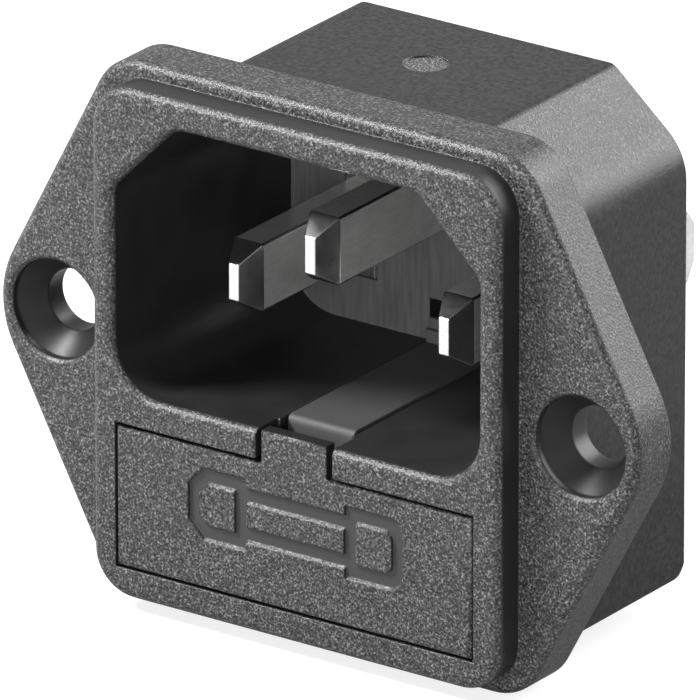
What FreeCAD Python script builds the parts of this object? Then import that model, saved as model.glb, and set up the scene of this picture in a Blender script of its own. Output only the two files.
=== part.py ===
import FreeCAD, Part
import math
import os

# C14 panel inlet with a fuse drawer, for mains power on racks and cabinets.
# Millimetres.  The front faces -Y, the panel lies in the plane Y = 0 behind the flange,
# Z is up and the origin is midway between the two screw holes.

os.makedirs("parts", exist_ok=True)
V = FreeCAD.Vector
SKIN = 0.02                 # how far a cutting tool reaches past the face it starts from
CLEAR = 1.0                 # how far a tool that comes from outside starts before the solid
ROOT = 0.3                  # how far a raised block reaches into the one that carries it

# ---- flange and bezel ----
FLANGE_T = 3.3              # flange thickness, from the panel face forward
FLANGE_H = 15.82            # half height of the flange
FLANGE_TOP_X = 13.7         # half width of its straight top and bottom edges
FLANGE_TIP_X = 22.05        # where the slanted edges would meet
FLANGE_TIP_R = 6.0          # rounding of the side tips
FLANGE_CORNER_R = 3.2
SCREW_PITCH = 35.0          # between the two screw holes
SCREW_R = 1.8               # clearance for an M3 screw
SCREW_HEAD_R = 2.92
SCREW_HEAD_DEPTH = 0.55     # straight part of the head recess, before its cone
SCREW_EDGE_BREAK = 0.2      # small chamfer at the recess's front edge
SCREW_LAND = 1.35           # straight part of the hole, at the panel face
BEZEL_W = 13.58             # half width
BEZEL_H = 15.03             # half height
BEZEL_T = 2.0               # stands this far in front of the flange
BEZEL_CORNER_R = 2.6
FRONT_R = 0.6               # rounding of the flange's and bezel's front edges
FRONT_Y = -FLANGE_T - BEZEL_T

# ---- body behind the panel ----
BODY_W = 13.25              # half width
BODY_TOP = 15.05
BODY_BOTTOM = -14.15
BODY_TOP_X = 8.4            # half width of the flat top
BODY_CHAMFER_Z = 4.2        # height of the slanted top corners
BODY_TOP_R = 0.8            # roundings of the section's corners, from the top down
BODY_KNEE_R = 3.5
BODY_LOW_R = 0.3
BODY_REAR = 13.35
BODY_REAR_BREAK = 0.15      # small chamfer around the rear edge
BODY_FOOT_R = 1.5           # rounding of the lower rear edge
RIM_T = 1.2                 # wall that stands around the rear recess
RIM_CORNER_R = 0.3          # least rounding of that recess's corners
REAR_FACE = 12.5            # rear face of the wall that carries the contacts
EJECTOR_R = 1.25            # ejector mark on the top face
EJECTOR_Y = 7.3
EJECTOR_DEPTH = 0.12

# ---- socket cavity ----
MOUTH_W = 12.15             # half width at the front
MOUTH_TOP = 13.25
FLOOR_Z = -2.98             # floor height at the front
MOUTH_CHAMFER = 4.2
MOUTH_TOP_R = 1.3
MOUTH_KNEE_R = 1.2
MOUTH_FLOOR_R = 3.0
MOUTH_EDGE_R = 0.55         # rounding of the opening's edge, where the walls aren't drafted
CAVITY_REAR = 11.1
CAVITY_DRAFT = 0.43         # the walls lean in by this much behind that edge, the floor stays level

# ---- contact pins ----
PIN_T = 2.0
PIN_H = 4.0
PIN_EDGE_R = 0.18
PIN_BEVEL = 1.46            # length of the tapered tip
TIP_T = 0.64
TIP_H = 2.12
LIVE_X = 7.0                # line is at -LIVE_X and neutral at +LIVE_X
LIVE_Z = 3.3
LIVE_TIP_Y = -1.0
EARTH_Z = 7.3
EARTH_TIP_Y = -3.65
PINS = ((-LIVE_X, LIVE_Z), (LIVE_X, LIVE_Z), (0.0, EARTH_Z))     # line, neutral, earth
SHOULDER_Y = 11.0           # front face of a pin's wider root, which stops it
SHOULDER_SEAT = 11.7        # bottom of the pocket in the rear wall that the root sits in
SHOULDER_HALF = 3.5         # half height of the root
SHOULDER_GAP = 0.08         # round it in the pocket
TAB_T = 0.8                 # quick-connect tab, 4.8 x 0.8
TAB_H = 4.8
TAB_DROP = 2.1              # the tab's centre lies below the pin's axis
TAB_TIP_Y = 22.95
TAB_BEVEL = 1.3
TAB_HOLE_R = 0.9            # detent hole
TAB_HOLE_BACK = 4.0         # its distance from the tab's tip
TAB_TAPER = 0.9             # length of the thinned tip
TAIL_END_Y = 13.2           # the line pin ends in a short staked tail
TAIL_UP = 0.3               # heights of that tail above and below the pin's axis
TAIL_DOWN = 2.0

# ---- fuse drawer ----
PLATE_W = 11.84
PLATE_TOP = -4.83
PLATE_BOTTOM = -13.1
PLATE_T = 2.0
PLATE_GAP = 0.13
PLATE_TOP_GAP = 0.2
PLATE_EDGE_R = 0.3
PLATE_SEAT = 0.15           # room behind the plate
GRIP_W = 2.15               # half width of the grip tab that reaches into the cavity
GRIP_TOP = -2.92
GRIP_T = 1.0
TONGUE_W = 2.2
TONGUE_TOP = -2.88
TONGUE_FRONT = -2.55
TONGUE_REAR = 12.2
TONGUE_WALL = 0.9
TONGUE_R = 0.4
TAIL_GAP = 0.1              # under the tongue's rear end, above the tray's way
NOTCH_W = 2.55              # half width of the notch in the lip, beside the grip tab
NOTCH_R = 0.15              # rounding of the lip's ends at the notch
SLOT_W = 2.36               # half width of the slot in the cavity floor
SLOT_TOP = FLOOR_Z + CLEAR   # the notch and the slot are cut up to here
KEY_TOP = -1.55             # the upstand at the tongue's rear end
KEY_STEP_Z = -2.15          # step on the upstand's front
KEY_STEP = 0.3
KEY_FRONT = 10.6            # the upstand stands in front of the rear wall and reaches through it
KEY_R = 0.1
PRY_DEPTH = 0.9             # gap behind the grip tab: depth below the plate's top
PRY_SIDE = 0.1              # and how far it is wider than the tab at each side
WINDOW_TOP = -0.5           # top of the window that the upstand enters
SIT_X = -0.08               # the drawer lies to the left and low in its play
SIT_Z = -0.03
TRAY_W = 11.05
TRAY_TOP = -5.35
TRAY_BOTTOM = -12.65
TRAY_REAR = 9.6
ROOF_T = 0.8
BAY_GAP = 0.2
BAY_REAR = 11.2
POCKET_W = 10.15            # half length of a fuse pocket
POCKET_GAP = 0.06
ROOF_WINDOW_NEAR = 3.3      # windows in the roof over the fuses, from the middle outwards
ROOF_WINDOW_FAR = 9.0
ROOF_WINDOW_HALF = 1.9
LIP_REACH = 0.45            # snap lips that keep the fuses in
LIP_W = 8.0
LIP_TOP = -1.75             # heights from the fuse's axis
LIP_POINT = -2.15
LIP_BOTTOM = -2.75
LIP_R = 0.1

# ---- fuses, 5 x 20 ----
FUSE_R = 2.6
FUSE_LEN = 20.0
CAP_LEN = 5.2
CAP_WALL = 0.2
CAP_END = 0.3
GLASS_WALL = 0.6
WIRE_R = 0.1
FUSE_Z = -9.0
SPARE_Y = -0.38
ACTIVE_Y = 5.9

# ---- fuse contacts and line terminal ----
SPRING_T = 0.5
SPRING_H = 3.8
SPRING_X = 11.55            # centre of the strip beside the drawer
SPRING_GAP = 0.1            # between the bowed strip and the fuse cap
SPRING_KNEE_Y = 10.2        # where the strip turns inwards
SPRING_BOW_HALF = 0.6       # half length of the stretch that presses
SPRING_TIP_Y = 4.0
SPRING_TIP_IN = 0.1
SPRING_BEND_R = 0.5
CHEEK_SLIT_H = 4.2          # slot in the drawer's cheeks for the strips
CHEEK_SLIT_Y = 3.45         # where it begins
RECESS_X = 12.2             # outer wall of the housing's recesses for the strips
RECESS_Y = 3.4
RECESS_H = 4.8
WALL_SLIT_X = 0.35          # half width of the slits in the rear wall for the strips
WALL_SLIT_GAP = 0.1
LINK_TOP = 4.9              # link strip from the line pin to the right-hand contact
LINK_LEFT_X = -8.6
LINK_NECK_X = -6.2
LINK_TURN_X = -3.6
LINK_TURN_Z = 0.0
LINK_BAR_TOP = -3.4
LINK_BAR_BOTTOM = -6.2
LINK_DROP_X = 9.4
LEFT_PLATE_X = -8.6
LEFT_PLATE_TOP = -4.2
TERMINAL_X = -9.5
TERMINAL_Z = -5.6
RIVET_X = -10.0
RIVET_Z = -9.35
RIVET_R = 0.6
RIVET_HEAD_R = 0.9
RIVET_HEAD_T = 0.4
RIVET_ROOM = 0.1            # round the rivet's heads
FOOT_Z = -10.5

# ---- rear cover ----
COVER_GAP = 0.1
COVER_STEP = 0.8            # the raised part is this much smaller all round
COVER_REAR = 14.8
COVER_EDGE = 0.25           # chamfer around its rear face
CHANNEL_GAP = 0.1           # round the strips that the cover closes over
COVER_SLOT_GAP = 0.15       # round a tab


def box(x0, x1, y0, y1, z0, z1):
    """A block between two values along each axis."""
    return Part.makeBox(x1 - x0, y1 - y0, z1 - z0, V(x0, y0, z0))


def mirrored_box(x, y0, y1, z0, z1):
    """A block that is centred on X = 0."""
    return box(-x, x, y0, y1, z0, z1)


def rod(radius, y0, y1, x=0.0, z=0.0):
    """A cylinder along Y."""
    return Part.makeCylinder(radius, y1 - y0, V(x, y0, z), V(0, 1, 0))


def cross_rod(radius, x0, x1, y, z):
    """A cylinder along X."""
    return Part.makeCylinder(radius, x1 - x0, V(x0, y, z), V(1, 0, 0))


def rounded_wire(corners, place):
    """A closed wire through (a, b, radius) corners; place(a, b) gives each point in space."""
    points = [place(a, b) for a, b, _ in corners]
    starts = []
    ends = []
    mids = []
    for i, (_, _, radius) in enumerate(corners):
        here = points[i]
        before = (points[i - 1] - here).normalize()
        after = (points[(i + 1) % len(points)] - here).normalize()
        half = before.getAngle(after) / 2.0
        reach = radius / math.tan(half)
        starts.append(here + before * reach)
        ends.append(here + after * reach)
        bisector = (before + after).normalize()
        mids.append(here + bisector * (radius / math.sin(half) - radius))
    edges = []
    for i, (_, _, radius) in enumerate(corners):
        if radius > 0:
            edges.append(Part.Arc(starts[i], mids[i], ends[i]).toShape())
        following = starts[(i + 1) % len(points)]
        if ends[i].distanceToPoint(following) > 1e-6:
            edges.append(Part.LineSegment(ends[i], following).toShape())
    return Part.Wire(edges)


def front_wire(corners, y):
    """An outline in the plane of the panel, at the depth y."""
    return rounded_wire(corners, lambda a, b: V(a, y, b))


def front_slab(corners, y0, y1):
    """An outline seen from the front, extruded from y0 to y1."""
    return Part.Face(front_wire(corners, y0)).extrude(V(0, y1 - y0, 0))


def side_slab(corners, x0, x1):
    """An outline of (y, z, radius) corners seen from the side, extruded from x0 to x1."""
    wire = rounded_wire(corners, lambda a, b: V(x0, a, b))
    return Part.Face(wire).extrude(V(x1 - x0, 0, 0))


def plan_slab(corners, z0, z1):
    """An outline of (x, y, radius) corners seen from above, extruded from z0 to z1."""
    wire = rounded_wire(corners, lambda a, b: V(a, b, z0))
    return Part.Face(wire).extrude(V(0, 0, z1 - z0))


def rectangle(w, z0, z1, radius):
    """Corners of a rectangle that is centred on X = 0."""
    return [(-w, z0, radius), (w, z0, radius), (w, z1, radius), (-w, z1, radius)]


def span(a, b):
    """Two values in rising order."""
    return min(a, b), max(a, b)


def edges_on_plane(shape, y, chosen=lambda edge: True):
    """The edges of a shape that lie in the plane at the depth y."""
    return [e for e in shape.Edges
            if abs(e.BoundBox.YMin - y) < 1e-4 and abs(e.BoundBox.YMax - y) < 1e-4 and chosen(e)]


def save(shape, name):
    shape.exportStep("parts/" + name + ".step")


# ---- housing ----

def body_outline(inset=0.0):
    """The body's section, with its slanted top corners, moved inwards by an inset."""
    slope = math.atan2(BODY_CHAMFER_Z, BODY_W - BODY_TOP_X)
    top_shift = inset * math.tan(slope / 2.0)
    side_shift = inset * math.tan((math.pi / 2.0 - slope) / 2.0)
    top = BODY_TOP - inset
    side = BODY_W - inset
    top_x = BODY_TOP_X - top_shift
    knee = BODY_TOP - BODY_CHAMFER_Z - side_shift
    bottom = BODY_BOTTOM + inset
    top_r = max(BODY_TOP_R - inset, RIM_CORNER_R)
    knee_r = max(BODY_KNEE_R - inset, RIM_CORNER_R)
    low_r = max(BODY_LOW_R - inset, RIM_CORNER_R)
    return [(-top_x, top, top_r), (top_x, top, top_r), (side, knee, knee_r),
            (side, bottom, low_r), (-side, bottom, low_r), (-side, knee, knee_r)]


def mouth_outline(inset=0.0):
    """The socket's opening, with its slanted upper corners; top and sides move in by an inset."""
    shift = inset * math.tan(math.pi / 8.0)
    top = MOUTH_TOP - inset
    side = MOUTH_W - inset
    top_x = MOUTH_W - MOUTH_CHAMFER - shift
    knee = MOUTH_TOP - MOUTH_CHAMFER - shift
    return [(-top_x, top, MOUTH_TOP_R), (top_x, top, MOUTH_TOP_R), (side, knee, MOUTH_KNEE_R),
            (side, FLOOR_Z, MOUTH_FLOOR_R), (-side, FLOOR_Z, MOUTH_FLOOR_R), (-side, knee, MOUTH_KNEE_R)]


def flange_outline():
    return [(-FLANGE_TOP_X, FLANGE_H, FLANGE_CORNER_R), (FLANGE_TOP_X, FLANGE_H, FLANGE_CORNER_R),
            (FLANGE_TIP_X, 0.0, FLANGE_TIP_R), (FLANGE_TOP_X, -FLANGE_H, FLANGE_CORNER_R),
            (-FLANGE_TOP_X, -FLANGE_H, FLANGE_CORNER_R), (-FLANGE_TIP_X, 0.0, FLANGE_TIP_R)]


def make_screw_hole(x):
    """Clearance hole, cone and straight head recess of one screw."""
    front = -FLANGE_T
    cone_start = front + SCREW_HEAD_DEPTH
    cone_end = -SCREW_LAND
    hole = rod(SCREW_R, front - CLEAR, CLEAR, x)
    head = rod(SCREW_HEAD_R, front - CLEAR, cone_start, x)
    cone = Part.makeCone(SCREW_HEAD_R, SCREW_R, cone_end - cone_start, V(x, cone_start, 0), V(0, 1, 0))
    return hole.fuse([head, cone])


def make_flange():
    """The flange with its screw holes, its front edge rounded and the recesses' edges broken."""
    flange = front_slab(flange_outline(), -FLANGE_T, 0.0)
    flange = flange.makeFillet(FRONT_R, edges_on_plane(flange, -FLANGE_T))
    flange = flange.cut([make_screw_hole(side * SCREW_PITCH / 2.0) for side in (-1, 1)])

    def around_recess(edge):
        return abs(edge.BoundBox.XLength - 2.0 * SCREW_HEAD_R) < SKIN
    return flange.makeChamfer(SCREW_EDGE_BREAK, edges_on_plane(flange, -FLANGE_T, around_recess))


def make_socket_cavity():
    """The cavity that takes the connector, drafted behind its rounded edge."""
    draft_start = FRONT_Y + MOUTH_EDGE_R + SKIN
    entry = front_slab(mouth_outline(), FRONT_Y - CLEAR, draft_start)
    rear = front_wire(mouth_outline(CAVITY_DRAFT), CAVITY_REAR)
    return entry.fuse(Part.makeLoft([front_wire(mouth_outline(), draft_start), rear], True, True))


def make_bezel():
    """The raised bezel with the socket's mouth, all its front edges rounded."""
    outline = rectangle(BEZEL_W, -BEZEL_H, BEZEL_H, BEZEL_CORNER_R)
    bezel = front_slab(outline, FRONT_Y, ROOT - FLANGE_T)
    outer = edges_on_plane(bezel, FRONT_Y)
    bezel = bezel.makeFillet(FRONT_R, outer).cut(make_socket_cavity())

    def at_mouth(edge):
        b = edge.BoundBox
        return b.ZMin > FLOOR_Z - SKIN and b.ZMax < MOUTH_TOP + SKIN and b.XMax < MOUTH_W + SKIN
    return bezel.makeFillet(MOUTH_EDGE_R, edges_on_plane(bezel, FRONT_Y, at_mouth))


def make_body():
    """The box behind the panel, its rear edges broken and the lower one rounded."""
    body = front_slab(body_outline(), -ROOT, BODY_REAR)
    body = body.makeChamfer(BODY_REAR_BREAK, edges_on_plane(body, BODY_REAR))
    high = BODY_TOP + CLEAR
    profile = [(-CLEAR, high, 0), (-CLEAR, BODY_BOTTOM, 0), (BODY_REAR, BODY_BOTTOM, BODY_FOOT_R),
               (BODY_REAR, high, 0)]
    return body.common(side_slab(profile, -BODY_W - CLEAR, BODY_W + CLEAR))


def make_drawer_bay():
    """Recess for the drawer's front plate, the bay behind it and the recesses for the contacts."""
    outline = rectangle(PLATE_W + PLATE_GAP, PLATE_BOTTOM - PLATE_GAP, PLATE_TOP + PLATE_TOP_GAP, 0)
    plate = front_slab(outline, FRONT_Y - CLEAR, FRONT_Y + PLATE_T + PLATE_SEAT)
    bay = mirrored_box(TRAY_W + BAY_GAP, FRONT_Y, BAY_REAR, TRAY_BOTTOM - BAY_GAP, TRAY_TOP + BAY_GAP)
    tools = [bay]
    reach = RECESS_H / 2.0
    slit = SPRING_H / 2.0 + WALL_SLIT_GAP
    for side in (-1, 1):
        near, far = span(side * TRAY_W, side * RECESS_X)
        tools.append(box(near, far, RECESS_Y, BAY_REAR, FUSE_Z - reach, FUSE_Z + reach))
        near, far = span(side * (SPRING_X - WALL_SLIT_X), side * (SPRING_X + WALL_SLIT_X))
        tools.append(box(near, far, CAVITY_REAR, REAR_FACE + SKIN, FUSE_Z - slit, FUSE_Z + slit))
    return plate.fuse(tools)


def lip_rounding(side):
    """What is cut off the end of the lip beside the notch, to leave it round."""
    near = NOTCH_W - SKIN
    far = NOTCH_W + NOTCH_R
    x0, x1 = span(side * near, side * far)
    corner = box(x0, x1, FRONT_Y - CLEAR, FRONT_Y + NOTCH_R, PLATE_TOP, SLOT_TOP)
    centre = V(side * far, FRONT_Y + NOTCH_R, PLATE_TOP - CLEAR)
    return corner.cut(Part.makeCylinder(NOTCH_R, SLOT_TOP - PLATE_TOP + 2.0 * CLEAR, centre))


def make_tongue_way():
    """Notch in the lip, slot in the cavity floor and window in the rear wall, for the tongue."""
    notch = mirrored_box(NOTCH_W, FRONT_Y - CLEAR, FRONT_Y + PLATE_T + PLATE_SEAT, PLATE_TOP, SLOT_TOP)
    slot = mirrored_box(SLOT_W, FRONT_Y, BAY_REAR, TRAY_TOP, SLOT_TOP)
    window = mirrored_box(SLOT_W, CAVITY_REAR - SKIN, REAR_FACE + SKIN, TRAY_TOP, WINDOW_TOP)
    return notch.fuse([slot, window, lip_rounding(-1), lip_rounding(1)])


def pin_slot(x, z):
    """Slot in the rear wall for the flat tail of a pin."""
    low = z - TAB_DROP - TAB_H / 2.0
    return box(x - TAB_T / 2.0, x + TAB_T / 2.0, CAVITY_REAR, REAR_FACE + SKIN, low, low + TAB_H)


def rivet_room(y0, y1):
    """Square pocket for one of the rivet's heads."""
    half = RIVET_HEAD_R + RIVET_ROOM
    return box(RIVET_X - half, RIVET_X + half, y0, y1, RIVET_Z - half, RIVET_Z + half)


def make_housing():
    """Flange, bezel and body as one moulding, with all its openings."""
    housing = make_flange().fuse([make_bezel(), make_body()])
    tools = [make_socket_cavity(), make_drawer_bay(), make_tongue_way()]
    tools.append(front_slab(body_outline(RIM_T), REAR_FACE, BODY_REAR + CLEAR))
    tools.append(Part.makeCylinder(EJECTOR_R, CLEAR, V(0, EJECTOR_Y, BODY_TOP - EJECTOR_DEPTH)))
    tools += [shoulder(x, z, SHOULDER_GAP) for x, z in PINS]
    tools += [pin_slot(x, z) for x, z in PINS[1:]]
    tools.append(line_tail(CAVITY_REAR, REAR_FACE + SKIN))
    tools.append(rivet_room(REAR_FACE - RIVET_HEAD_T, REAR_FACE + SKIN))
    for tool in tools:
        housing = housing.cut(tool)
    return housing.removeSplitter()


# ---- pins and terminals ----

def make_blade(x, z, tip_y):
    """The 4 x 2 blade of a pin, bevelled at its tip."""
    half_t = PIN_T / 2.0
    half_h = PIN_H / 2.0
    shank = front_slab([(x - half_t, z - half_h, PIN_EDGE_R), (x + half_t, z - half_h, PIN_EDGE_R),
                        (x + half_t, z + half_h, PIN_EDGE_R), (x - half_t, z + half_h, PIN_EDGE_R)],
                       tip_y, SHOULDER_SEAT)
    bevel_y = tip_y + PIN_BEVEL
    sides = plan_slab([(x - TIP_T / 2.0, tip_y, 0), (x + TIP_T / 2.0, tip_y, 0), (x + half_t, bevel_y, 0),
                       (x + half_t, SHOULDER_SEAT, 0), (x - half_t, SHOULDER_SEAT, 0),
                       (x - half_t, bevel_y, 0)], z - half_h, z + half_h)
    edges = side_slab([(tip_y, z - TIP_H / 2.0, 0), (bevel_y, z - half_h, 0), (SHOULDER_SEAT, z - half_h, 0),
                       (SHOULDER_SEAT, z + half_h, 0), (bevel_y, z + half_h, 0),
                       (tip_y, z + TIP_H / 2.0, 0)], x - half_t, x + half_t)
    return shank.common(sides).common(edges)


def shoulder(x, z, gap=0.0):
    """The wider root of a pin, or the pocket for it when a gap is given."""
    half_t = PIN_T / 2.0 + gap
    half_h = SHOULDER_HALF + gap
    return box(x - half_t, x + half_t, SHOULDER_Y, SHOULDER_SEAT, z - half_h, z + half_h)


def make_tab(x, z, y0):
    """A 4.8 x 0.8 quick-connect tab with bevelled corners, a lead-in and a detent hole."""
    half = TAB_H / 2.0
    bevel_y = TAB_TIP_Y - TAB_BEVEL
    corners = [(y0, z - half, 0), (bevel_y, z - half, 0), (TAB_TIP_Y, z - half + TAB_BEVEL, 0),
               (TAB_TIP_Y, z + half - TAB_BEVEL, 0), (bevel_y, z + half, 0), (y0, z + half, 0)]
    tab = side_slab(corners, x - TAB_T / 2.0, x + TAB_T / 2.0)
    hole = cross_rod(TAB_HOLE_R, x - TAB_T, x + TAB_T, TAB_TIP_Y - TAB_HOLE_BACK, z)
    thick = TAB_T / 2.0
    thin = TAB_T / 4.0
    taper_y = TAB_TIP_Y - TAB_TAPER
    taper = [(x - thick, y0, 0), (x - thick, taper_y, 0), (x - thin, TAB_TIP_Y, 0),
             (x + thin, TAB_TIP_Y, 0), (x + thick, taper_y, 0), (x + thick, y0, 0)]
    return tab.common(plan_slab(taper, z - half, z + half)).cut(hole)


def make_pin(x, z, tip_y):
    """Blade, shoulder and tab of the neutral or earth pin, one piece of brass."""
    pin = make_blade(x, z, tip_y).fuse([shoulder(x, z), make_tab(x, z - TAB_DROP, SHOULDER_SEAT)])
    return pin.removeSplitter()


def line_tail(y0, y1):
    """The flat tail of the line pin, which goes through the rear wall and the fused strip."""
    half = TAB_T / 2.0
    return box(-LIVE_X - half, -LIVE_X + half, y0, y1, LIVE_Z - TAIL_DOWN, LIVE_Z + TAIL_UP)


def make_line_pin():
    pin = make_blade(-LIVE_X, LIVE_Z, LIVE_TIP_Y)
    pin = pin.fuse([shoulder(-LIVE_X, LIVE_Z), line_tail(SHOULDER_SEAT, TAIL_END_Y)])
    return pin.removeSplitter()


def make_spring_arm(side):
    """The bowed strip that presses on a fuse cap, from the rear wall forward."""
    bow_x = FUSE_LEN / 2.0 + SPRING_GAP + SPRING_T / 2.0
    line = [(SPRING_X, REAR_FACE + SPRING_T), (SPRING_X, SPRING_KNEE_Y),
            (bow_x, ACTIVE_Y + SPRING_BOW_HALF), (bow_x, ACTIVE_Y - SPRING_BOW_HALF),
            (SPRING_X - SPRING_TIP_IN, SPRING_TIP_Y)]
    half = SPRING_T / 2.0

    def offset_side(sign):
        points = []
        for i, (x, y) in enumerate(line):
            here = V(x, y, 0)
            back = here - V(*line[i - 1], 0) if i > 0 else V(*line[1], 0) - here
            ahead = V(*line[i + 1], 0) - here if i < len(line) - 1 else back
            back.normalize()
            ahead.normalize()
            normal = V(-(back.y + ahead.y), back.x + ahead.x, 0).normalize()
            stretch = half / math.cos(back.getAngle(ahead) / 2.0)
            points.append(here + normal * (sign * stretch))
        return points
    right = offset_side(1)
    left = offset_side(-1)
    outline = [(side * p.x, p.y) for p in right + left[::-1]]
    last = len(outline) - 1
    ends = (0, len(line) - 1, len(line), last)
    corners = [(x, y, 0.0 if i in ends else SPRING_BEND_R) for i, (x, y) in enumerate(outline)]
    return plan_slab(corners, FUSE_Z - SPRING_H / 2.0, FUSE_Z + SPRING_H / 2.0)


def strip_plate(x0, x1, z0, z1):
    """A flat stretch of contact strip that lies on the rear wall."""
    return box(x0, x1, REAR_FACE, REAR_FACE + SPRING_T, z0, z1)


def link_plates():
    """The strip that leads from the line pin across to the right-hand fuse contact."""
    edge = SPRING_X + SPRING_T / 2.0
    top = FUSE_Z + SPRING_H / 2.0
    return [strip_plate(LINK_LEFT_X, LINK_TURN_X, LINK_TURN_Z, LINK_TOP),
            strip_plate(LINK_NECK_X, LINK_TURN_X, LINK_BAR_BOTTOM, LINK_TURN_Z),
            strip_plate(LINK_TURN_X, edge, LINK_BAR_BOTTOM, LINK_BAR_TOP),
            strip_plate(LINK_DROP_X, edge, top - SPRING_H, LINK_BAR_BOTTOM)]


def make_right_contact():
    plates = link_plates()
    contact = plates[0].fuse(plates[1:] + [make_spring_arm(1)])
    return contact.cut(line_tail(REAR_FACE - CLEAR, BODY_REAR)).removeSplitter()


def left_plate():
    edge = SPRING_X + SPRING_T / 2.0
    return strip_plate(-edge, LEFT_PLATE_X, FUSE_Z - SPRING_H / 2.0, LEFT_PLATE_TOP)


def make_left_contact():
    hole = rod(RIVET_R, REAR_FACE - CLEAR, BODY_REAR + CLEAR, RIVET_X, RIVET_Z)
    return left_plate().fuse(make_spring_arm(-1)).cut(hole).removeSplitter()


def terminal_foot():
    """The flat foot of the line terminal, on the left-hand contact."""
    y0 = REAR_FACE + SPRING_T
    left = RIVET_X - RIVET_HEAD_R
    return box(left, TERMINAL_X + TAB_T / 2.0, y0, y0 + TAB_T, FOOT_Z, TERMINAL_Z + TAB_H / 2.0)


def make_line_terminal():
    tab = make_tab(TERMINAL_X, TERMINAL_Z, REAR_FACE + SPRING_T)
    hole = rod(RIVET_R, REAR_FACE - CLEAR, BODY_REAR + CLEAR, RIVET_X, RIVET_Z)
    return terminal_foot().fuse(tab).cut(hole).removeSplitter()


def make_terminal_rivet():
    """Rivet that joins the line terminal to the left-hand fuse contact."""
    rear = REAR_FACE + SPRING_T + TAB_T
    shank = rod(RIVET_R, REAR_FACE - RIVET_HEAD_T, rear + RIVET_HEAD_T, RIVET_X, RIVET_Z)
    front_head = rod(RIVET_HEAD_R, REAR_FACE - RIVET_HEAD_T, REAR_FACE, RIVET_X, RIVET_Z)
    rear_head = rod(RIVET_HEAD_R, rear, rear + RIVET_HEAD_T, RIVET_X, RIVET_Z)
    return shank.fuse([front_head, rear_head]).removeSplitter()


# ---- rear cover ----

def cover_slot(x, z):
    """Opening for a tab."""
    half_t = TAB_T / 2.0 + COVER_SLOT_GAP
    half_h = TAB_H / 2.0 + COVER_SLOT_GAP
    return box(x - half_t, x + half_t, REAR_FACE - CLEAR, COVER_REAR + CLEAR, z - half_h, z + half_h)


def cover_channel(piece):
    """Room in the cover for a flat piece that lies on the rear wall."""
    b = piece.BoundBox
    return box(b.XMin - CHANNEL_GAP, b.XMax + CHANNEL_GAP, REAR_FACE - CLEAR, b.YMax + CHANNEL_GAP / 2.0,
               b.ZMin - CHANNEL_GAP, b.ZMax + CHANNEL_GAP)


def make_rear_cover():
    """The cover that closes the rear recess over the live strips."""
    base = front_slab(body_outline(RIM_T + COVER_GAP), REAR_FACE, BODY_REAR)
    block = front_slab(body_outline(RIM_T + COVER_GAP + COVER_STEP), BODY_REAR - ROOT, COVER_REAR)
    block = block.makeChamfer(COVER_EDGE, edges_on_plane(block, COVER_REAR))
    flat_pieces = link_plates() + [left_plate(), terminal_foot(), line_tail(REAR_FACE, TAIL_END_Y)]
    tools = [cover_channel(piece) for piece in flat_pieces]
    rivet_end = REAR_FACE + SPRING_T + TAB_T + RIVET_HEAD_T + RIVET_ROOM
    tools.append(rivet_room(REAR_FACE, rivet_end))
    tools += [cover_slot(LIVE_X, LIVE_Z - TAB_DROP), cover_slot(0.0, EARTH_Z - TAB_DROP),
              cover_slot(TERMINAL_X, TERMINAL_Z)]
    return base.fuse(block).cut(tools).removeSplitter()


# ---- fuse drawer ----

def make_drawer_plate():
    """The front plate with the grip tab that reaches up into the cavity."""
    plate = front_slab(rectangle(PLATE_W, PLATE_BOTTOM, PLATE_TOP, 0), FRONT_Y, FRONT_Y + PLATE_T)
    grip = mirrored_box(GRIP_W, FRONT_Y, FRONT_Y + GRIP_T, PLATE_TOP - ROOT, GRIP_TOP)
    front = plate.fuse(grip).removeSplitter()
    return front.makeFillet(PLATE_EDGE_R, edges_on_plane(front, FRONT_Y))


def make_tongue():
    """The hollow rib that fills the slot in the cavity floor, with its stepped upstand."""
    low = TRAY_TOP - ROOF_T
    tail_low = TRAY_TOP + BAY_GAP + TAIL_GAP
    rib = side_slab([(TONGUE_FRONT, low, 0), (TRAY_REAR, low, 0), (TRAY_REAR, tail_low, 0),
                     (TONGUE_REAR, tail_low, 0), (TONGUE_REAR, TONGUE_TOP, 0),
                     (TONGUE_FRONT, TONGUE_TOP, TONGUE_R)], -TONGUE_W, TONGUE_W)
    root = TONGUE_TOP - ROOT
    step_y = KEY_FRONT + KEY_STEP
    key = side_slab([(KEY_FRONT, root, 0), (KEY_FRONT, KEY_STEP_Z, KEY_R), (step_y, KEY_STEP_Z, 0),
                     (step_y, KEY_TOP, KEY_R), (TONGUE_REAR, KEY_TOP, KEY_R), (TONGUE_REAR, root, 0)],
                    -TONGUE_W, TONGUE_W)
    hollow = mirrored_box(TONGUE_W - TONGUE_WALL, TONGUE_FRONT + TONGUE_WALL, TRAY_REAR - TONGUE_WALL,
                          low - CLEAR, TONGUE_TOP - TONGUE_WALL)
    return rib.fuse(key).cut(hollow)


def snap_lip(y, towards):
    """A small ridge low on a pocket wall, under the fuse."""
    root = y - towards * SKIN
    corners = [(root, FUSE_Z + LIP_TOP, 0), (y + towards * LIP_REACH, FUSE_Z + LIP_POINT, LIP_R),
               (root, FUSE_Z + LIP_BOTTOM, 0)]
    return side_slab(corners, -LIP_W, LIP_W)


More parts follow.
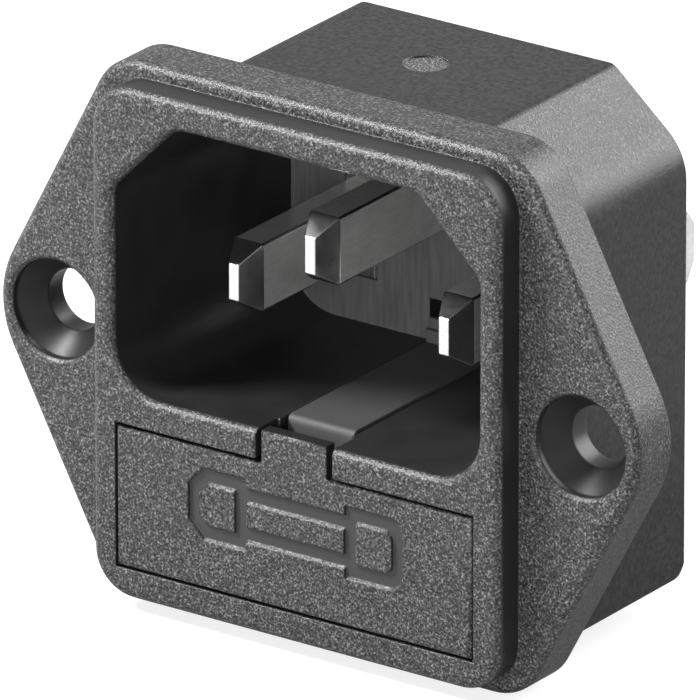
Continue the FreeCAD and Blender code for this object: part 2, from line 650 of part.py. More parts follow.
def make_tray():
    """The frame behind the plate: cheeks, cross walls, roof with windows and snap lips."""
    half = FUSE_R + POCKET_GAP
    roof = TRAY_TOP - ROOF_T
    tray = mirrored_box(TRAY_W, FRONT_Y + PLATE_T - ROOT, TRAY_REAR, TRAY_BOTTOM, TRAY_TOP)
    tools = []
    lips = []
    for y in (SPARE_Y, ACTIVE_Y):
        tools.append(mirrored_box(POCKET_W, y - half, y + half, TRAY_BOTTOM - CLEAR, roof))
        lips += [snap_lip(y - half, 1), snap_lip(y + half, -1)]
        for side in (-1, 1):
            near, far = span(side * ROOF_WINDOW_NEAR, side * ROOF_WINDOW_FAR)
            tools.append(box(near, far, y - ROOF_WINDOW_HALF, y + ROOF_WINDOW_HALF,
                             roof - CLEAR, TRAY_TOP + CLEAR))
    reach = CHEEK_SLIT_H / 2.0
    for side in (-1, 1):
        near, far = span(side * (FUSE_LEN / 2.0 - SPRING_GAP), side * (TRAY_W + CLEAR))
        tools.append(box(near, far, CHEEK_SLIT_Y, TRAY_REAR + CLEAR, FUSE_Z - reach, FUSE_Z + reach))
    return tray.cut(tools).fuse(lips)


def make_drawer():
    """Front plate, tray and tongue, with the gap behind the grip tab for prying it out."""
    drawer = make_drawer_plate().fuse([make_tray(), make_tongue()])
    pry = mirrored_box(GRIP_W + PRY_SIDE, FRONT_Y + GRIP_T, TONGUE_FRONT, PLATE_TOP - PRY_DEPTH,
                       GRIP_TOP + CLEAR)
    return drawer.cut(pry).removeSplitter().translated(V(SIT_X, 0, SIT_Z))


# ---- fuses ----

def make_fuse_cap(y, side):
    """A thin metal cup over one end of the glass."""
    end = side * FUSE_LEN / 2.0
    x0, x1 = span(end, end - side * CAP_LEN)
    cup = cross_rod(FUSE_R, x0, x1, y, FUSE_Z)
    inner = end - side * CAP_END
    x0, x1 = span(inner, inner - side * CAP_LEN)
    return cup.cut(cross_rod(FUSE_R - CAP_WALL, x0, x1, y, FUSE_Z))


def make_fuse_glass(y):
    half = FUSE_LEN / 2.0 - CAP_END
    outer = FUSE_R - CAP_WALL
    tube = cross_rod(outer, -half, half, y, FUSE_Z)
    return tube.cut(cross_rod(outer - GLASS_WALL, -half - CLEAR, half + CLEAR, y, FUSE_Z))


def make_fuse_wire(y):
    half = FUSE_LEN / 2.0 - CAP_END
    return cross_rod(WIRE_R, -half, half, y, FUSE_Z)


save(make_housing(), "housing")
save(make_rear_cover(), "rear_cover")
save(make_line_pin(), "line_pin")
save(make_pin(LIVE_X, LIVE_Z, LIVE_TIP_Y), "neutral_pin")
save(make_pin(0.0, EARTH_Z, EARTH_TIP_Y), "earth_pin")
save(make_line_terminal(), "line_terminal")
save(make_terminal_rivet(), "terminal_rivet")
save(make_left_contact(), "left_fuse_contact")
save(make_right_contact(), "right_fuse_contact")
save(make_drawer(), "fuse_drawer")
for fuse_name, fuse_y in (("active", ACTIVE_Y), ("spare", SPARE_Y)):
    save(make_fuse_glass(fuse_y), fuse_name + "_fuse_glass")
    save(make_fuse_wire(fuse_y), fuse_name + "_fuse_wire")
    save(make_fuse_cap(fuse_y, -1), fuse_name + "_fuse_left_cap")
    save(make_fuse_cap(fuse_y, 1), fuse_name + "_fuse_right_cap")
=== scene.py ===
import math

import bmesh
import bpy
from mathutils import Matrix, Vector


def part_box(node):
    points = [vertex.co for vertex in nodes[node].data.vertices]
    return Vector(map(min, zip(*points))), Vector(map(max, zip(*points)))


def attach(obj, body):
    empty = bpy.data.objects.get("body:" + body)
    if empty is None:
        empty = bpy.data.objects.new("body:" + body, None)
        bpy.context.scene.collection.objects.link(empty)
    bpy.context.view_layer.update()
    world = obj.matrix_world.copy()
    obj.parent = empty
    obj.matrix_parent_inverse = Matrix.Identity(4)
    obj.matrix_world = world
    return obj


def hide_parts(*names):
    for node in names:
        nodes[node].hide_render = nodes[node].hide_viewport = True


# A C14 panel inlet with a fuse drawer: black glass-filled plastic, plated pins, glass fuses.
# Lengths are in metres.  The front faces -Y and Z is up.

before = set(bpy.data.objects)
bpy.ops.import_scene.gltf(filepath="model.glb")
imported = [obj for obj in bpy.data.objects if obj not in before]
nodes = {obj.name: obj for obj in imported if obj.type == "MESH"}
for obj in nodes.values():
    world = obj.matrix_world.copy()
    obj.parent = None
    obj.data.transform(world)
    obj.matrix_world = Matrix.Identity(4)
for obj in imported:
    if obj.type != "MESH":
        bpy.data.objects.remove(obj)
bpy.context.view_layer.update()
scene = bpy.context.scene
scene.view_settings.view_transform = "Standard"

MM = 0.001

# ---- places read from the frame ----
FLOOR_GAP = 0.05 * MM       # keeps the floor just clear of the faces that stand on it
FLOOR_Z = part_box("housing")[0].z - FLOOR_GAP
DRAWER_FRONT_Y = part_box("fuse_drawer")[0].y

# ---- camera ----
AZIMUTH = 35.18
ELEVATION = 21.85
ROLL = -0.041
DISTANCE = 0.9701
LENS = 920.8
SENSOR = 36.0
CLIP_NEAR = 0.05
CLIP_FAR = 10.0
TARGET = Vector((3.789, -5.262, 3.188)) * MM


def direction(azimuth, elevation):
    """The direction from the object towards a place round it; azimuth 0 is in front."""
    a = math.radians(azimuth)
    e = math.radians(elevation)
    return Vector((math.sin(a) * math.cos(e), -math.cos(a) * math.cos(e), math.sin(e)))


def facing(towards):
    """The turn that makes a camera or a lamp look back along a direction."""
    return towards.to_track_quat("Z", "Y").to_matrix().to_4x4()


def make_camera():
    camera = bpy.data.objects.new("camera", bpy.data.cameras.new("camera"))
    scene.collection.objects.link(camera)
    back = direction(AZIMUTH, ELEVATION)
    roll = Matrix.Rotation(math.radians(ROLL), 4, "Z")
    camera.matrix_world = Matrix.Translation(TARGET + back * DISTANCE) @ facing(back) @ roll
    camera.data.lens = LENS
    camera.data.sensor_width = SENSOR
    camera.data.clip_start = CLIP_NEAR
    camera.data.clip_end = CLIP_FAR
    scene.camera = camera


# ---- node helpers ----
class Tree:
    """Short calls for the nodes of a material or of the world."""

    def __init__(self, tree):
        self.tree = tree
        self.coords = tree.nodes.new("ShaderNodeTexCoord")

    def put(self, socket, value):
        """Joins a node's output, or writes a plain value, to an input socket."""
        if isinstance(value, bpy.types.NodeSocket):
            self.tree.links.new(value, socket)
        else:
            socket.default_value = value

    def math(self, operation, a, b=0.0):
        node = self.tree.nodes.new("ShaderNodeMath")
        node.operation = operation
        self.put(node.inputs[0], a)
        self.put(node.inputs[1], b)
        return node.outputs[0]

    def largest(self, *values):
        total = values[0]
        for value in values[1:]:
            total = self.math("MAXIMUM", total, value)
        return total

    def product(self, *values):
        total = values[0]
        for value in values[1:]:
            total = self.math("MULTIPLY", total, value)
        return total

    def inverse(self, value):
        return self.math("SUBTRACT", 1.0, value)

    def size(self, value):
        return self.math("ABSOLUTE", value)

    def axes(self, vector):
        node = self.tree.nodes.new("ShaderNodeSeparateXYZ")
        self.put(node.inputs[0], vector)
        return tuple(node.outputs)

    def ranged(self, value, low, high, to_low, to_high, smooth=False):
        node = self.tree.nodes.new("ShaderNodeMapRange")
        node.interpolation_type = "SMOOTHSTEP" if smooth else "LINEAR"
        self.put(node.inputs["Value"], value)
        node.inputs["From Min"].default_value = low
        node.inputs["From Max"].default_value = high
        self.put(node.inputs["To Min"], to_low)
        self.put(node.inputs["To Max"], to_high)
        return node.outputs[0]

    def step(self, value, low, high):
        """A soft step from 0 at low to 1 at high."""
        return self.ranged(value, low, high, 0.0, 1.0, smooth=True)

    def within(self, value, low, high, edge):
        """1 between two values, with soft edges."""
        above = self.step(value, low - edge, low + edge)
        below = self.step(value, high + edge, high - edge)
        return self.product(above, below)

    def mix(self, factor, a, b):
        node = self.tree.nodes.new("ShaderNodeMix")
        node.data_type = "FLOAT"
        self.put(node.inputs[0], factor)
        self.put(node.inputs[2], a)
        self.put(node.inputs[3], b)
        return node.outputs[0]

    def along(self, vector, azimuth):
        """How far a point or a direction lies from the object towards an azimuth, in plan."""
        x, y, _ = self.axes(vector)
        towards = direction(azimuth, 0.0)
        return self.math("ADD", self.math("MULTIPLY", x, towards.x), self.math("MULTIPLY", y, towards.y))


class Shader(Tree):
    """A Principled material with short calls for the nodes that feed it."""

    BEVEL_SAMPLES = 6

    def __init__(self, name):
        self.material = bpy.data.materials.new(name)
        self.material.use_nodes = True
        super().__init__(self.material.node_tree)
        self.bsdf = self.tree.nodes["Principled BSDF"]

    def set(self, name, value):
        self.put(self.bsdf.inputs[name], value)

    def place(self):
        return self.axes(self.coords.outputs["Object"])

    def normal(self):
        geometry = self.tree.nodes.new("ShaderNodeNewGeometry")
        return self.axes(geometry.outputs["Normal"])

    def stretched(self, scale):
        node = self.tree.nodes.new("ShaderNodeMapping")
        self.put(node.inputs["Vector"], self.coords.outputs["Object"])
        node.inputs["Scale"].default_value = scale
        return node.outputs[0]

    def noise(self, scale, detail, roughness, vector=None):
        node = self.tree.nodes.new("ShaderNodeTexNoise")
        self.put(node.inputs["Vector"], vector or self.coords.outputs["Object"])
        node.inputs["Scale"].default_value = scale
        node.inputs["Detail"].default_value = detail
        node.inputs["Roughness"].default_value = roughness
        return node.outputs["Fac"]

    def varied(self, noise, low, high):
        """A level that follows a noise, whose values lie mostly between 0.3 and 0.7."""
        return self.ranged(noise, 0.3, 0.7, low, high)

    def grey(self, value, tint=(1.0, 1.0, 1.0)):
        """A colour from one level."""
        node = self.tree.nodes.new("ShaderNodeCombineColor")
        for i, share in enumerate(tint):
            self.put(node.inputs[i], self.math("MULTIPLY", value, share))
        return node.outputs[0]

    def bump(self, height, distance, strength, edge):
        """A fine relief on a surface whose sharp edges catch the light as rounded ones do."""
        rounded = self.tree.nodes.new("ShaderNodeBevel")
        rounded.samples = self.BEVEL_SAMPLES
        rounded.inputs["Radius"].default_value = edge
        node = self.tree.nodes.new("ShaderNodeBump")
        node.inputs["Distance"].default_value = distance
        self.put(node.inputs["Strength"], strength)
        self.put(node.inputs["Height"], height)
        self.put(node.inputs["Normal"], rounded.outputs[0])
        return node.outputs[0]

    def clear_from_behind(self):
        """Lets the view through the back of a sheet."""
        geometry = self.tree.nodes.new("ShaderNodeNewGeometry")
        clear = self.tree.nodes.new("ShaderNodeBsdfTransparent")
        mixed = self.tree.nodes.new("ShaderNodeMixShader")
        self.put(mixed.inputs["Fac"], geometry.outputs["Backfacing"])
        self.put(mixed.inputs[1], self.bsdf.outputs[0])
        self.put(mixed.inputs[2], clear.outputs[0])
        self.put(self.tree.nodes["Material Output"].inputs["Surface"], mixed.outputs[0])

    def distance(self, a, b):
        return self.math("SQRT", self.math("ADD", self.product(a, a), self.product(b, b)))


def dress(material, *names):
    for name in names:
        mesh = nodes[name].data
        mesh.materials.clear()
        mesh.materials.append(material)


# ---- light and surroundings ----
WHITE = (1, 1, 1, 1)
WORLD_LEVEL = 0.32
BACKDROP_REFLECTED = 0.65   # the backdrop in reflections
FLAG_AZIMUTH = 45.0         # a dark flag stands in front and to the right
FLAG_LEVEL = 0.3            # share of the surroundings that is reflected where it stands
FLAG_SIDES = (0.35, 0.75)   # where it starts and ends in the world's directions
FLAG_REACH = (15.0 * MM, 40.0 * MM)     # and on the floor
CARD_AZIMUTH = -35.0        # a bright card lies on the floor in front and to the left
CARD_REACH = (5.0 * MM, 60.0 * MM)
CARD_REFLECTED = 0.8        # what the card adds in reflections
FLOOR_REFLECTED = 0.1       # what the floor adds there to its lit colour
FLOOR_SEEN = 0.8            # and what it adds for the camera
FLOOR_GREY = (0.28, 0.28, 0.28, 1)
FLOOR_ROUGHNESS = 0.9
FLOOR_HALF = 1.5

# name, azimuth, elevation, distance, side, watts
LAMPS = (("key_left", -54, 49, 0.5, 0.12, 4.3),
         ("behind_right", 150, 28, 0.5, 0.4, 3.6),
         ("front_left", -35, 15, 0.7, 0.5, 0.12),
         ("front_right", 24, 12, 0.7, 0.4, 3.3))


def area_light(name, azimuth, elevation, distance, side, power):
    """A soft square lamp that faces the object."""
    data = bpy.data.lights.new(name, "AREA")
    data.shape = "SQUARE"
    data.size = side
    data.energy = power
    lamp = bpy.data.objects.new(name, data)
    scene.collection.objects.link(lamp)
    towards = direction(azimuth, elevation)
    lamp.matrix_world = Matrix.Translation(towards * distance) @ facing(towards)
    lamp.visible_camera = False


def backdrop(tree, seen_level, reflected):
    """A level for rays from the camera or through glass and one for reflections, and a mask of them."""
    rays = tree.tree.nodes.new("ShaderNodeLightPath").outputs
    seen = tree.math("MAXIMUM", rays["Is Camera Ray"], rays["Is Transmission Ray"])
    mirrored = rays["Is Glossy Ray"]
    level = tree.largest(tree.product(seen, seen_level), tree.product(mirrored, reflected))
    return level, tree.largest(seen, mirrored)


def make_world():
    world = bpy.data.worlds.new("studio")
    scene.world = world
    world.use_nodes = True
    world.node_tree.nodes.clear()
    t = Tree(world.node_tree)
    ambient = t.tree.nodes.new("ShaderNodeBackground")
    ambient.inputs["Strength"].default_value = WORLD_LEVEL
    ambient.inputs["Color"].default_value = WHITE
    white = t.tree.nodes.new("ShaderNodeBackground")
    white.inputs["Color"].default_value = WHITE
    flag = t.along(t.coords.outputs["Generated"], FLAG_AZIMUTH)
    reflected = t.ranged(flag, *FLAG_SIDES, BACKDROP_REFLECTED, BACKDROP_REFLECTED * FLAG_LEVEL, smooth=True)
    level, mask = backdrop(t, 1.0, reflected)
    t.put(white.inputs["Strength"], level)
    mixed = t.tree.nodes.new("ShaderNodeMixShader")
    t.put(mixed.inputs["Fac"], mask)
    t.put(mixed.inputs[1], ambient.outputs[0])
    t.put(mixed.inputs[2], white.outputs[0])
    out = t.tree.nodes.new("ShaderNodeOutputWorld")
    t.put(out.inputs["Surface"], mixed.outputs[0])


def floor_material():
    """White for the camera from above; in reflections it shows the card and the dark flag."""
    s = Shader("floor_white")
    s.set("Base Color", FLOOR_GREY)
    s.set("Roughness", FLOOR_ROUGHNESS)
    s.set("Emission Color", WHITE)
    place = s.coords.outputs["Object"]
    flag = s.along(place, FLAG_AZIMUTH)
    plain = s.ranged(flag, *FLAG_REACH, FLOOR_REFLECTED, 0.0, smooth=True)
    card = s.ranged(s.along(place, CARD_AZIMUTH), *CARD_REACH, 0.0, CARD_REFLECTED, smooth=True)
    share = s.ranged(flag, *FLAG_REACH, 1.0, FLAG_LEVEL, smooth=True)
    level, _ = backdrop(s, FLOOR_SEEN, s.product(s.math("ADD", plain, card), share))
    s.set("Emission Strength", level)
    s.clear_from_behind()
    return s.material


def make_floor():
    mesh = bpy.data.meshes.new("floor")
    build = bmesh.new()
    bmesh.ops.create_grid(build, x_segments=1, y_segments=1, size=FLOOR_HALF)
    build.to_mesh(mesh)
    build.free()
    mesh.materials.append(floor_material())
    floor = bpy.data.objects.new("floor", mesh)
    floor.location = (0, 0, FLOOR_Z)
    scene.collection.objects.link(floor)


# ---- plastic: where each finish lies ----
EDGE = 0.05 * MM            # softness of a change of finish
WIDE_EDGE = 0.2 * MM        # and where the place isn't exact
FLANGE_T = 3.3 * MM
BEZEL_HALF_W = 13.6 * MM
BEZEL_HALF_H = 15.05 * MM
SLANT_LOW = 8.0 * MM        # the body's slanted corners start in this band
SLANT_HIGH = 9.0 * MM
SCREW_X = 17.5 * MM
RECESS_R = 2.95 * MM
EJECTOR_Y = 7.3 * MM        # round mark on the body's top
EJECTOR_R = 1.25 * MM
TOP_LOW = 14.0 * MM         # only the body's top lies above this band
TOP_HIGH = 14.5 * MM
REAR_WALL_Y = 11.1 * MM     # rear wall of the socket
TONGUE_HALF = 2.3 * MM
TONGUE_FRONT_Y = -2.6 * MM
TONGUE_LOW = -6.0 * MM
TONGUE_HIGH = -1.0 * MM
SYMBOL_DEPTH = 0.2 * MM     # of the groove in the drawer's front
SYMBOL_ABOVE = -5.8 * MM    # the groove stays below this height and within this half width
SYMBOL_BESIDE = 7.8 * MM
OUTWARD_LOW = 5.0 * MM      # the body's outer faces look away from its middle by more than this
OUTWARD_HIGH = 7.0 * MM

# ---- plastic: how light and how rough each finish is ----
GRAIN = 7500.0              # spark-eroded grain, cells per metre
CLOUD = 420.0               # large soft patches
STREAKS = 3600.0            # polishing marks on the socket's rear wall
GRAINED_ALBEDO = 0.060
GRAIN_LEVELS = (0.0, 1.75)  # between its dark and light cells, times that albedo
GRAIN_DARKEST = 0.15
PAINTED_GLINT_LEVEL = 1.8               # painted glints: added in the lightest cells, where the grain's facets would catch the light
EJECTOR_SHARE = 1.3         # the mark is that much lighter
SOFT_GRAIN = 0.6            # share of the grain on the rim and the slanted corners
SMOOTH_ALBEDO = 0.0155
GROOVE_ALBEDO = 0.044
# painted light: the socket's rear wall is far lighter than the other smooth faces, partly for its streaked
# finish and partly for the light that reaches it through the mouth
REAR_WALL_LEVEL_WITH_PAINTED_LIGHT = 0.10
TONGUE_ALBEDO = 0.05
# painted light: the tongue's front face is lighter than its top, for the light that falls on it through the
# mouth
TONGUE_FRONT_LEVEL_WITH_PAINTED_LIGHT = 0.085
GRAINED_ROUGHNESS = 0.42
TONGUE_ROUGHNESS = 0.65
SMOOTH_ROUGHNESS = (0.36, 0.44)
GRAIN_HEIGHT = 0.06 * MM
GRAINED_RELIEF = 0.7        # share of that height on each finish
BODY_RELIEF = 0.2
INSIDE_RELIEF = 0.05
BROKEN_EDGE = 0.18 * MM     # radius of the sharpest moulded edges
PLASTIC_IOR = 1.45


class Plastic(Shader):
    """Black moulded plastic: grained outside, smooth at the sides and in hollows.

    A step on a normal's part fades a finish in between two cosines of the slope.
    """

    def __init__(self, name):
        super().__init__(name)
        self.x, self.y, self.z = self.place()
        self.nx, self.ny, self.nz = self.normal()
        self.across = self.size(self.x)
        self.forward = self.math("MULTIPLY", self.ny, -1.0)
        self.fine = self.noise(GRAIN, 1.0, 0.5)
        self.cloud = self.noise(CLOUD, 3.0, 0.55)

    def front(self):
        before_tongue = self.step(self.y, TONGUE_FRONT_Y, TONGUE_FRONT_Y - EDGE)
        return self.product(self.step(self.forward, 0.08, 0.5), before_tongue)

    def rim(self):
        """The flange's edge all round, but not its rear face."""
        beside = self.math("SUBTRACT", self.across, BEZEL_HALF_W)
        above = self.math("SUBTRACT", self.size(self.z), BEZEL_HALF_H)
        outside = self.step(self.largest(beside, above), 0.0, 2.0 * EDGE)
        return self.product(outside, self.within(self.y, -FLANGE_T, 0.0, EDGE), self.step(self.ny, 0.6, 0.4))

    def slanted(self):
        """The body's two slanted upper corners."""
        leaning = self.product(self.step(self.size(self.nx), 0.45, 0.62), self.step(self.nz, 0.45, 0.62))
        return self.product(leaning, self.step(self.y, 0.0, EDGE), self.step(self.z, SLANT_LOW, SLANT_HIGH))

    def ejector(self):
        mark = self.distance(self.x, self.math("SUBTRACT", self.y, EJECTOR_Y))
        on_top = self.product(self.step(self.nz, 0.8, 0.9), self.step(self.z, TOP_LOW, TOP_HIGH))
        return self.product(self.step(mark, EJECTOR_R + EDGE, EJECTOR_R), on_top)

    def screw_recess(self):
        away = self.distance(self.math("SUBTRACT", self.across, SCREW_X), self.z)
        return self.step(away, RECESS_R + EDGE, RECESS_R - EDGE)

    def groove(self):
        """The floor of the groove in the drawer's front."""
        shallow = DRAWER_FRONT_Y + 0.5 * SYMBOL_DEPTH
        depth = self.within(self.y, shallow, DRAWER_FRONT_Y + 2.0 * SYMBOL_DEPTH, EDGE)
        below = self.step(self.z, SYMBOL_ABOVE, SYMBOL_ABOVE - WIDE_EDGE)
        inside = self.step(self.across, SYMBOL_BESIDE, SYMBOL_BESIDE - WIDE_EDGE)
        return self.product(depth, below, inside, self.step(self.forward, 0.9, 0.99))

    def rear_wall(self):
        there = self.within(self.y, REAR_WALL_Y - WIDE_EDGE, REAR_WALL_Y + WIDE_EDGE, EDGE)
        return self.product(there, self.step(self.forward, 0.8, 0.95))

    def tongue(self):
        narrow = self.step(self.across, TONGUE_HALF + EDGE, TONGUE_HALF)
        along = self.within(self.y, TONGUE_FRONT_Y, REAR_WALL_Y, EDGE)
        return self.product(narrow, along, self.within(self.z, TONGUE_LOW, TONGUE_HIGH, EDGE))

    def body_outside(self):
        """The faces behind the flange that look away from the body's middle or to the rear."""
        outward = self.math("ADD", self.product(self.x, self.nx), self.product(self.z, self.nz))
        outward = self.largest(self.step(outward, OUTWARD_LOW, OUTWARD_HIGH), self.step(self.ny, 0.5, 0.7))
        return self.product(self.step(self.y, -EDGE, EDGE), outward)

    def worked_albedo(self, ejector):
        """The grained finish: a speckle of light cells that are painted glints, a little uneven at large."""
        # painted glints: the lightest grain cells are made lighter still, in place of light caught by the
        # grain's facets
        painted_glints = self.product(self.step(self.fine, 0.56, 0.74), PAINTED_GLINT_LEVEL)
        grain = self.math("ADD", self.ranged(self.fine, 0.28, 0.72, *GRAIN_LEVELS), painted_glints)
        uneven = self.varied(self.noise(GRAIN * 0.3, 2.0, 0.5), 0.8, 1.2)
        worked = self.product(self.math("MAXIMUM", grain, GRAIN_DARKEST), uneven, GRAINED_ALBEDO)
        return self.mix(ejector, worked, self.math("MULTIPLY", worked, EJECTOR_SHARE))

    def smooth_albedo(self, tongue, groove):
        """The other finishes: mottled outside, streaked on the rear wall and plain inside; the rear wall and
        the tongue's front carry painted light in their lighter levels.
        """
        mottled = self.varied(self.noise(GRAIN * 0.45, 2.0, 0.6), 0.0, 1.5)
        mottled = self.mix(self.body_outside(), 1.0, mottled)
        smooth = self.product(self.varied(self.cloud, 0.85, 1.15), mottled, SMOOTH_ALBEDO)
        # painted light: the tongue's forward-facing side gets the lighter level
        tongue_level_with_painted_light = self.mix(self.step(self.forward, 0.3, 0.8), TONGUE_ALBEDO, TONGUE_FRONT_LEVEL_WITH_PAINTED_LIGHT)
        smooth = self.mix(tongue, smooth, tongue_level_with_painted_light)
        streaks = self.noise(STREAKS, 3.0, 0.6, self.stretched((1.0, 1.0, 0.08)))
        # painted light: the rear wall's streaked level is raised for the light that reaches it through the
        # mouth
        wall_level_with_painted_light = self.product(self.varied(streaks, 0.75, 1.25), REAR_WALL_LEVEL_WITH_PAINTED_LIGHT)
        smooth = self.mix(self.rear_wall(), smooth, wall_level_with_painted_light)
        return self.mix(groove, smooth, GROOVE_ALBEDO)


def plastic(name):
    s = Plastic(name)
    ejector = s.ejector()
    groove = s.groove()
    tongue = s.tongue()
    part_grained = s.product(s.largest(s.rim(), s.slanted()), SOFT_GRAIN)
    ungrained = s.inverse(s.largest(s.screw_recess(), groove))
    grained = s.product(s.largest(s.front(), part_grained, ejector), ungrained)
    s.set("Base Color", s.grey(s.mix(grained, s.smooth_albedo(tongue, groove), s.worked_albedo(ejector))))
    rough = s.mix(tongue, s.varied(s.cloud, *SMOOTH_ROUGHNESS), TONGUE_ROUGHNESS)
    s.set("Roughness", s.mix(grained, rough, GRAINED_ROUGHNESS))
    relief = s.mix(s.step(s.y, 0.0, EDGE), INSIDE_RELIEF, BODY_RELIEF)
    s.set("Normal", s.bump(s.fine, GRAIN_HEIGHT, s.mix(grained, relief, GRAINED_RELIEF), BROKEN_EDGE))
    s.set("IOR", PLASTIC_IOR)
    return s.material


# ---- metals and glass ----
METAL_STREAKS = 9000.0
METAL_PATCHES = 700.0
STREAK_HEIGHT = 0.01 * MM
STREAK_RELIEF = 0.35
METAL_EDGE = 0.1 * MM       # radius of deburred edges
GLASS_SWIRL = 300.0
GLASS_IOR = 1.5
NICKEL = (0.80, 0.80, 0.79)
BRONZE = (0.78, 0.70, 0.55)
TIN = (0.62, 0.61, 0.60)


def plated_metal(name, colour, roughness, streak_axis, matt=0.0):
    """Plated sheet or bar, with fine streaks along one axis; its sides and top can be more matt."""
    s = Shader(name)
    scale = [1.0, 1.0, 1.0]
    scale[streak_axis] = 0.06
    streaks = s.noise(METAL_STREAKS, 3.0, 0.6, s.stretched(scale))
    patches = s.noise(METAL_PATCHES, 3.0, 0.6)
    level = s.product(s.varied(streaks, 0.9, 1.08), s.varied(patches, 0.9, 1.05))
    s.set("Base Color", s.grey(level, colour))
    s.set("Metallic", 1.0)
    if matt:
        nx, _, nz = s.normal()
        broad = s.largest(s.step(s.size(nx), 0.93, 0.98), s.step(nz, 0.93, 0.98))
        s.set("Metallic", s.inverse(s.product(broad, matt)))
    s.set("Roughness", s.varied(patches, roughness * 0.75, roughness * 1.3))
    s.set("Normal", s.bump(streaks, STREAK_HEIGHT, STREAK_RELIEF, METAL_EDGE))
    return s.material


def clear_glass(name):
    s = Shader(name)
    swirl = s.noise(GLASS_SWIRL, 2.0, 0.5)
    s.set("Base Color", s.grey(s.varied(swirl, 0.93, 1.0), (0.97, 1.0, 0.99)))
    s.set("Transmission Weight", 1.0)
    s.set("IOR", GLASS_IOR)
    s.set("Roughness", s.varied(swirl, 0.0, 0.04))
    return s.material


# ---- fuse symbol sunk into the drawer's front ----
SYMBOL_X = 0.12 * MM        # its centre
SYMBOL_Z = -8.15 * MM
SYMBOL_DRAFT = 0.14 * MM    # slope of its upper and lower walls over its depth
CAP_NEAR = 3.3 * MM         # the caps' ends, from the centre outwards
CAP_FAR = 7.17 * MM
CAP_HALF = 2.04 * MM
CAP_CORNER = 1.0 * MM       # chamfered on the left cap, round on the right one
TUBE_HALF = 1.5 * MM
FIELD_NEAR = 4.05 * MM      # the raised fields inside the caps
FIELD_FAR = 6.42 * MM
FIELD_HALF = 1.3 * MM
FIELD_CORNER = 0.6 * MM
TUBE_FIELD_END = 3.25 * MM
TUBE_FIELD_HALF = 0.79 * MM
ROUND_STEPS = 8             # points on each round corner


def corner_points(x, z, size, turn, steps):
    """Points round the corner at (x, z) from one side to the next; one step makes a chamfer."""
    centre = Vector((x - math.copysign(size, x), z - math.copysign(size, z)))
    points = []
    for i in range(steps + 1):
        angle = math.pi / 2 * (turn + i / steps)
        points.append(centre + Vector((math.cos(angle), math.sin(angle))) * size)
    return points


def rectangle(x0, x1, half):
    return [Vector((x0, -half)), Vector((x1, -half)), Vector((x1, half)), Vector((x0, half))]


def left_cap(near, far, half, size):
    """A cap with a square inner end and chamfered outer corners, counterclockwise from its upper right."""
    points = [Vector((-near, half))] + corner_points(-far, half, size, 1, 1)
    return points + corner_points(-far, -half, size, 2, 1) + [Vector((-near, -half))]


def right_cap(near, far, half, size):
    """A cap with a square inner end and round outer corners, counterclockwise from its lower left."""
    points = [Vector((near, -half))] + corner_points(far, -half, size, 3, ROUND_STEPS)
    return points + corner_points(far, half, size, 0, ROUND_STEPS) + [Vector((near, half))]


def spread(outline, distance):
    """An outline of counterclockwise points with its upper and lower sides moved outwards."""
    points = []
    for i, point in enumerate(outline):
        before = (point - outline[i - 1]).normalized()
        after = (outline[(i + 1) % len(outline)] - point).normalized()
        outwards = -(before.x + after.x) / (1.0 + before.dot(after))
        points.append(point + Vector((0.0, outwards * distance)))
    return points


def prism(name, outline, y0, y1, slope):
    """A solid from (x, z) points about the symbol's centre, as they lie at the groove's floor."""
    build = bmesh.new()
    rings = []
    for y in (y0, y1):
        ring = spread(outline, (DRAWER_FRONT_Y + SYMBOL_DEPTH - y) * slope)
        rings.append([build.verts.new((SYMBOL_X + p.x, y, SYMBOL_Z + p.y)) for p in ring])
    front, rear = rings
    build.faces.new(front)
    build.faces.new(rear[::-1])
    for i in range(len(outline)):
        build.faces.new((front[i - 1], rear[i - 1], rear[i], front[i]))
    bmesh.ops.recalc_face_normals(build, faces=build.faces)
    mesh = bpy.data.meshes.new(name)
    build.to_mesh(mesh)
    build.free()
    solid = bpy.data.objects.new(name, mesh)
    scene.collection.objects.link(solid)
    return solid


def carve(target, cutter):
    """Cuts one solid out of another, which gets a new mesh; the cutter is used up."""
    cut = target.modifiers.new("cut", "BOOLEAN")
    cut.operation = "DIFFERENCE"
    cut.solver = "EXACT"
    cut.object = cutter
    depsgraph = bpy.context.evaluated_depsgraph_get()
    mesh = bpy.data.meshes.new_from_object(target.evaluated_get(depsgraph))
    target.modifiers.clear()
    target.data = mesh
    bpy.data.objects.remove(cutter)


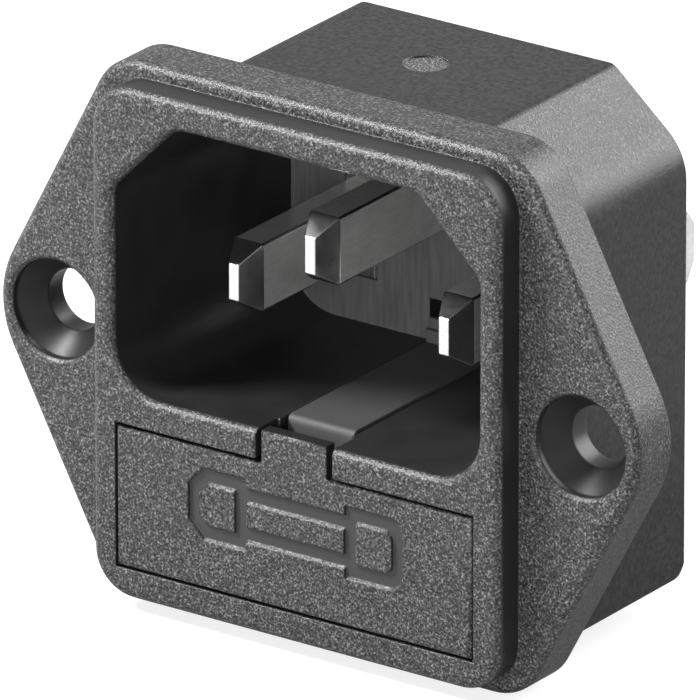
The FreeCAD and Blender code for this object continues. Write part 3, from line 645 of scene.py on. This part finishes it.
def make_groove():
    """The symbol's outline as a solid, without the fields that stay raised inside it."""
    outline = left_cap(CAP_NEAR, CAP_FAR, CAP_HALF, CAP_CORNER)
    outline += [Vector((-CAP_NEAR, -TUBE_HALF)), Vector((CAP_NEAR, -TUBE_HALF))]
    outline += right_cap(CAP_NEAR, CAP_FAR, CAP_HALF, CAP_CORNER)
    outline += [Vector((CAP_NEAR, TUBE_HALF)), Vector((-CAP_NEAR, TUBE_HALF))]
    fields = (left_cap(FIELD_NEAR, FIELD_FAR, FIELD_HALF, FIELD_CORNER),
              rectangle(-TUBE_FIELD_END, TUBE_FIELD_END, TUBE_FIELD_HALF),
              right_cap(FIELD_NEAR, FIELD_FAR, FIELD_HALF, FIELD_CORNER))
    slope = SYMBOL_DRAFT / SYMBOL_DEPTH
    floor_y = DRAWER_FRONT_Y + SYMBOL_DEPTH
    groove = prism("symbol_groove", outline, DRAWER_FRONT_Y - SYMBOL_DEPTH, floor_y, slope)
    for i, field in enumerate(fields):
        before = DRAWER_FRONT_Y - 2.0 * SYMBOL_DEPTH
        carve(groove, prism("symbol_field_%d" % i, field, before, floor_y + SYMBOL_DEPTH, -slope))
    return groove


def make_symbol_drawer(material):
    """The drawer with the sunken outline of a fuse on its front."""
    drawer = nodes["fuse_drawer"].copy()
    drawer.data = nodes["fuse_drawer"].data.copy()
    drawer.name = "drawer_with_fuse_symbol"
    scene.collection.objects.link(drawer)
    carve(drawer, make_groove())
    drawer.data.materials.clear()
    drawer.data.materials.append(material)
    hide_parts("fuse_drawer")
    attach(drawer, "drawer")


make_camera()
make_world()
make_floor()
for lamp_values in LAMPS:
    area_light(*lamp_values)

black = plastic("moulded_plastic")
dress(black, "housing", "rear_cover", "fuse_drawer")
make_symbol_drawer(black)
dress(plated_metal("plated_brass", NICKEL, roughness=0.2, streak_axis=1, matt=0.28),
      "line_pin", "neutral_pin", "earth_pin", "line_terminal", "terminal_rivet")
dress(plated_metal("tinned_bronze", BRONZE, roughness=0.3, streak_axis=1),
      "left_fuse_contact", "right_fuse_contact")
dress(plated_metal("fuse_cap_nickel", NICKEL, roughness=0.16, streak_axis=0),
      "active_fuse_left_cap", "active_fuse_right_cap", "spare_fuse_left_cap", "spare_fuse_right_cap")
dress(plated_metal("fuse_wire_tin", TIN, roughness=0.3, streak_axis=0),
      "active_fuse_wire", "spare_fuse_wire")
dress(clear_glass("fuse_tube_glass"), "active_fuse_glass", "spare_fuse_glass")
